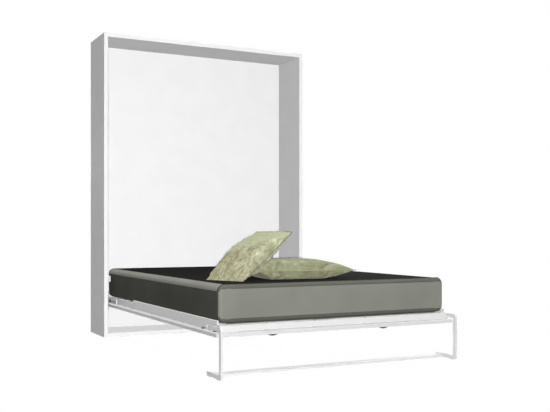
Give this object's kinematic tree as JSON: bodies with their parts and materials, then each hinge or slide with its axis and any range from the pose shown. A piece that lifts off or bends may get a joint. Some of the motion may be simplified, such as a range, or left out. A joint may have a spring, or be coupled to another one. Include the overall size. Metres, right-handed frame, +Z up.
{
  "type": "wall bed",
  "caption": "Vertical wall bed: a steel slat bed with mattress and pillows that tilts up into a shallow upright cabinet and stands on a swinging floor leg when open.",
  "frame": {"origin": "on the floor, under the middle of the cabinet's base board", "axes": "+X to the right of the cabinet's sides as seen from the foot of the open bed, +Y from the foot of the bed towards the wall, +Z up"},
  "size_m": [1.66, 2.21, 2.24],
  "materials": {
    "cabinet_board": "satin white melamine on chipboard",
    "back_board": "matt white melamine on fibreboard",
    "dowel_wood": "plain beech",
    "plated_steel": "zinc plated",
    "pin_steel": "zinc plated",
    "rubber_white": "matt",
    "frame_paint": "satin grey powder coat",
    "plastic_grey": "moulded",
    "bush_plastic": "moulded",
    "slat_lacquer": "grey lacquer on laminated wood",
    "front_board": "satin white melamine on chipboard",
    "handle_dark": "satin dark powder coat",
    "leg_paint": "satin light grey powder coat",
    "strut_black": "gloss black",
    "strut_chrome": "polished",
    "mattress_cloth": "woven cover, charcoal and grey",
    "pillow_satin": "satin with a faint tone-on-tone pattern"
  },
  "bodies": {
    "cabinet": {"top_panel": "cabinet_board", "base_panel": "cabinet_board", "side_panel_right": "cabinet_board", "side_panel_left": "cabinet_board", "panel_dowels": "dowel_wood", "back_panel": "back_board", "hinge_plate_right": "plated_steel", "hinge_plate_left": "plated_steel", "tilt_pin_right": "pin_steel", "tilt_pin_left": "pin_steel", "strut_anchor_right": "plated_steel", "strut_anchor_left": "plated_steel", "side_board_screws": "pin_steel", "closing_stop_right": "rubber_white", "closing_stop_left": "rubber_white", "wall_bracket_right": "plated_steel", "wall_bracket_left": "plated_steel", "wall_bracket_screws": "pin_steel"},
    "bed": {"side_rail_right": "frame_paint", "side_rail_left": "frame_paint", "side_guard_right": "frame_paint", "side_guard_left": "frame_paint", "foot_rail": "frame_paint", "head_rail": "frame_paint", "centre_beam": "frame_paint", "rail_end_caps": "plastic_grey", "corner_gussets": "frame_paint", "hinge_arm_right": "frame_paint", "hinge_arm_left": "frame_paint", "tilt_bush_right": "bush_plastic", "tilt_bush_left": "bush_plastic", "hinge_arm_bolts": "pin_steel", "slats": "slat_lacquer", "slat_holders_right": "plastic_grey", "slat_holders_left": "plastic_grey", "slat_rests": "plastic_grey", "front_panel": "front_board", "panel_spacers": "plastic_grey", "panel_screws": "pin_steel", "handle_right": "handle_dark", "handle_left": "handle_dark", "handle_screws": "pin_steel", "leg_bolt_right": "leg_paint", "leg_bolt_left": "leg_paint", "leg_spacers": "bush_plastic", "leg_nuts": "pin_steel", "leg_stop_pins": "pin_steel", "mattress": "mattress_cloth", "lying_pillow": "pillow_satin", "leaning_pillow": "pillow_satin"},
    "leg": {"leg_bar_right": "leg_paint", "leg_bar_left": "leg_paint", "leg_bushes": "bush_plastic", "leg_cross_plate": "leg_paint", "foot_pads": "rubber_white"},
    "strut_tube_right": {"strut_tube_right": "strut_black"},
    "strut_tube_left": {"strut_tube_left": "strut_black"},
    "strut_rod_right": {"strut_rod_right": "strut_chrome"},
    "strut_rod_left": {"strut_rod_left": "strut_chrome"}
  },
  "joints": [
    {"name": "bed_tilt", "type": "hinge", "parent": "cabinet", "child": "bed", "pos_m": [0, -0.129, 0.26], "axis": [-1, 0, 0], "range_deg": [0, 90], "deforming": ["lying_pillow", "leaning_pillow"]},
    {"name": "leg_swing", "type": "hinge", "parent": "bed", "child": "leg", "pos_m": [0, -1.865, 0.2605], "axis": [-1, 0, 0], "range_deg": [0, 180]},
    {"name": "strut_turn_right", "type": "hinge", "parent": "cabinet", "child": "strut_tube_right", "pos_m": [0.78, 0.04, 0.505], "axis": [-1, 0, 0], "range_deg": [0, 11.36]},
    {"name": "strut_slide_right", "type": "slide", "parent": "strut_tube_right", "child": "strut_rod_right", "axis": [0, -0.2545, -0.9671], "range_m": [0, 0.13323]},
    {"name": "strut_turn_left", "type": "hinge", "parent": "cabinet", "child": "strut_tube_left", "pos_m": [-0.78, 0.04, 0.505], "axis": [-1, 0, 0], "range_deg": [0, 11.36]},
    {"name": "strut_slide_left", "type": "slide", "parent": "strut_tube_left", "child": "strut_rod_left", "axis": [0, -0.2545, -0.9671], "range_m": [0, 0.13323]}
  ],
  "couplings": [
    {"joint": "strut_turn_right", "follows": "bed_tilt", "ratio": 0.12622},
    {"joint": "strut_slide_right", "follows": "bed_tilt", "m_per_rad": 0.084818},
    {"joint": "strut_turn_left", "follows": "bed_tilt", "ratio": 0.12622},
    {"joint": "strut_slide_left", "follows": "bed_tilt", "m_per_rad": 0.084818}
  ]
}
